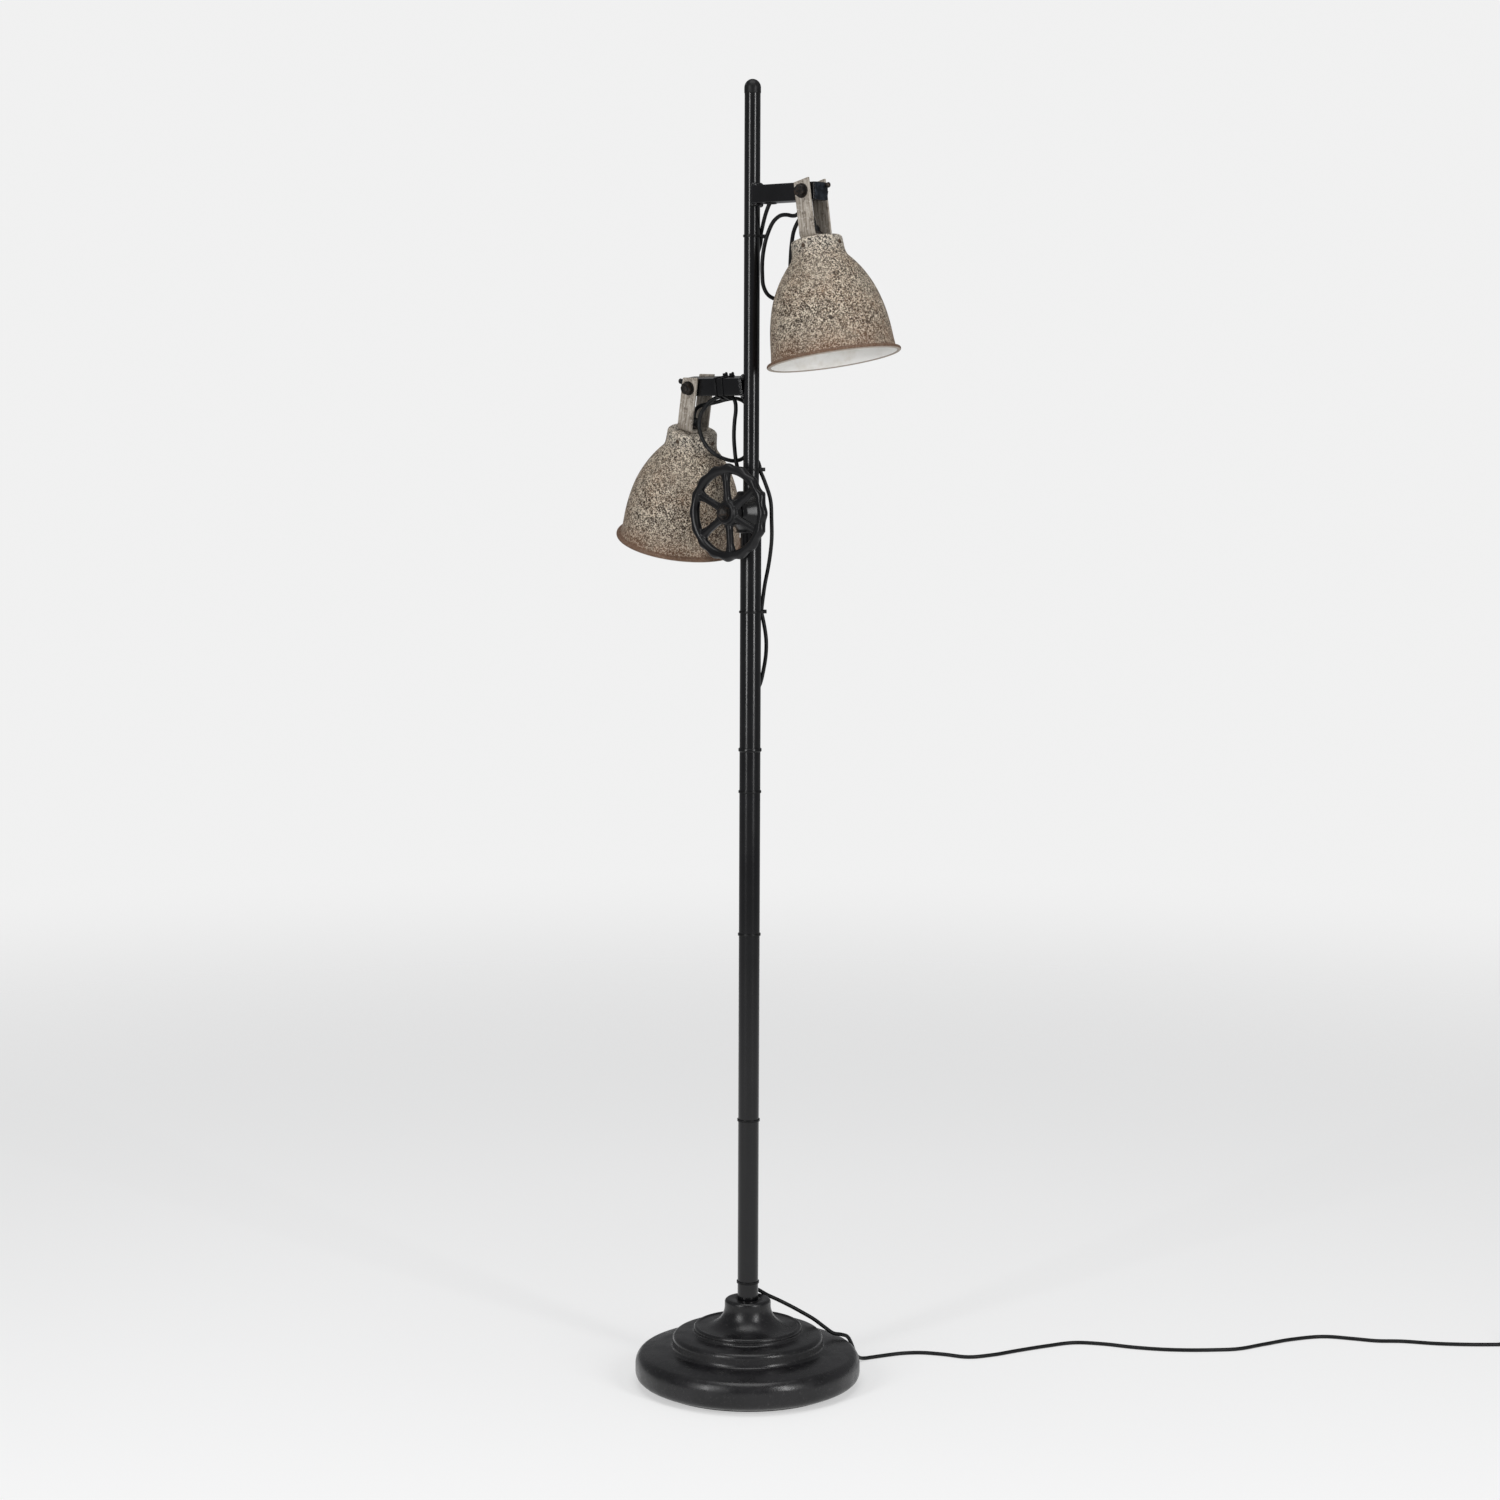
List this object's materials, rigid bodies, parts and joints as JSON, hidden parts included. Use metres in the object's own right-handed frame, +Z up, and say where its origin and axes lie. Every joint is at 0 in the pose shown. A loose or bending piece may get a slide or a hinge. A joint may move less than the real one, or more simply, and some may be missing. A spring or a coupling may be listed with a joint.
{
  "type": "adjustable arm floor lamp",
  "caption": "Floor lamp with a round stepped base, telescopic pole with a handwheel clamp, and bell-shade heads on tilting brackets at the ends of short arms.",
  "frame": {"origin": "on the floor, at the middle of the round base", "axes": "+Z up along the pole; +X along the upper arm; the handwheel faces -Y"},
  "size_m": [1.0164, 0.9497, 1.585],
  "materials": {
    "cast_black": "rough satin black cast iron",
    "felt": "felt",
    "black_metal": "semi-gloss black paint",
    "wheel_black": "satin black paint, lightly worn",
    "dark_steel": "blackened steel",
    "plain_steel": "plain steel",
    "worn_bracket": "weathered grey-beige paint",
    "worn_shade": "mottled crackled brown and grey outside, white inside",
    "brass": "brass",
    "black_plastic": "satin black plastic",
    "white_ceramic": "glazed white",
    "tie_plastic": "black nylon",
    "cord_black": "black round flex"
  },
  "bodies": {
    "stand": {"base_casting": "cast_black", "base_pad": "felt", "base_bolt": "plain_steel", "base_washer": "plain_steel", "tube_foot_plug": "plain_steel", "lower_tube": "black_metal", "joint_sleeve": "plain_steel", "joint_ring": "black_metal", "middle_tube": "black_metal", "clamp_collar": "black_metal", "stand_cable_ties": "tie_plastic", "pole_cord": "cord_black", "slack_cord": "cord_black", "mains_cord": "cord_black", "mains_coil": "cord_black", "plug_body": "black_plastic", "plug_pins": "brass", "switch_base": "black_plastic", "switch_cover": "black_plastic"},
    "switch_button": {"switch_button": "black_plastic"},
    "guide_bush": {"guide_bush": "brass"},
    "mast": {"mast_tube": "black_metal", "mast_cap": "black_metal", "mast_snap_rings": "plain_steel", "upper_arm": "black_metal", "lower_arm": "black_metal", "arm_end_plugs": "dark_steel", "arm_end_screws": "dark_steel", "pivot_bolts": "dark_steel", "pivot_nuts": "dark_steel", "mast_cable_ties": "tie_plastic", "cord_junction": "black_plastic", "mast_cord": "cord_black", "upper_lamp_cord": "cord_black", "lower_lamp_cord": "cord_black"},
    "clamp_pad": {"clamp_pad": "brass"},
    "handwheel": {"clamp_screw": "dark_steel", "handwheel": "wheel_black", "wheel_washer": "dark_steel", "wheel_nut": "dark_steel"},
    "upper_lamp": {"upper_shade_neck": "worn_shade", "upper_shade": "worn_shade", "upper_bracket": "worn_bracket", "upper_pivot_washers": "dark_steel", "upper_nipple": "brass", "upper_locknut": "dark_steel", "upper_cord_grip": "black_plastic", "upper_holder_cap": "black_plastic", "upper_holder_body": "white_ceramic", "upper_holder_insert": "brass"},
    "lower_lamp": {"lower_shade_neck": "worn_shade", "lower_shade": "worn_shade", "lower_bracket": "worn_bracket", "lower_pivot_washers": "dark_steel", "lower_nipple": "brass", "lower_locknut": "dark_steel", "lower_cord_grip": "black_plastic", "lower_holder_cap": "black_plastic", "lower_holder_body": "white_ceramic", "lower_holder_insert": "brass"}
  },
  "joints": [
    {"name": "height_slide", "type": "slide", "parent": "stand", "child": "guide_bush", "axis": [0, 0, 1], "range_m": [-0.012, 0.06], "deforming": ["slack_cord"]},
    {"name": "mast_swivel", "type": "hinge", "parent": "guide_bush", "child": "mast", "pos_m": [0, 0, 1], "axis": [0, 0, -1], "range_deg": [0, 150]},
    {"name": "upper_tilt", "type": "hinge", "parent": "mast", "child": "upper_lamp", "pos_m": [0.0885, 0, 1.449], "axis": [0, -1, 0], "range_deg": [-3, 75], "deforming": ["upper_lamp_cord"]},
    {"name": "lower_tilt", "type": "hinge", "parent": "mast", "child": "lower_lamp", "pos_m": [-0.084, 0, 1.224], "axis": [0, 0.9877, 0.1564], "range_deg": [-4, 72], "deforming": ["lower_lamp_cord"]},
    {"name": "pad_slide", "type": "slide", "parent": "stand", "child": "clamp_pad", "axis": [0, -1, 0], "range_m": [0, 0.0038]},
    {"name": "handwheel_turn", "type": "hinge", "parent": "clamp_pad", "child": "handwheel", "pos_m": [0, -0.043, 1.073], "axis": [0, -1, 0], "range_deg": [0, 1080]},
    {"name": "switch_button_press", "type": "slide", "parent": "stand", "child": "switch_button", "axis": [0, 0, -1], "range_m": [0, 0.0025], "stiffness_N_per_m": 300, "springref_m": -0.004}
  ],
  "couplings": [
    {"joint": "pad_slide", "follows": "handwheel_turn", "m_per_rad": 0.00019894}
  ]
}
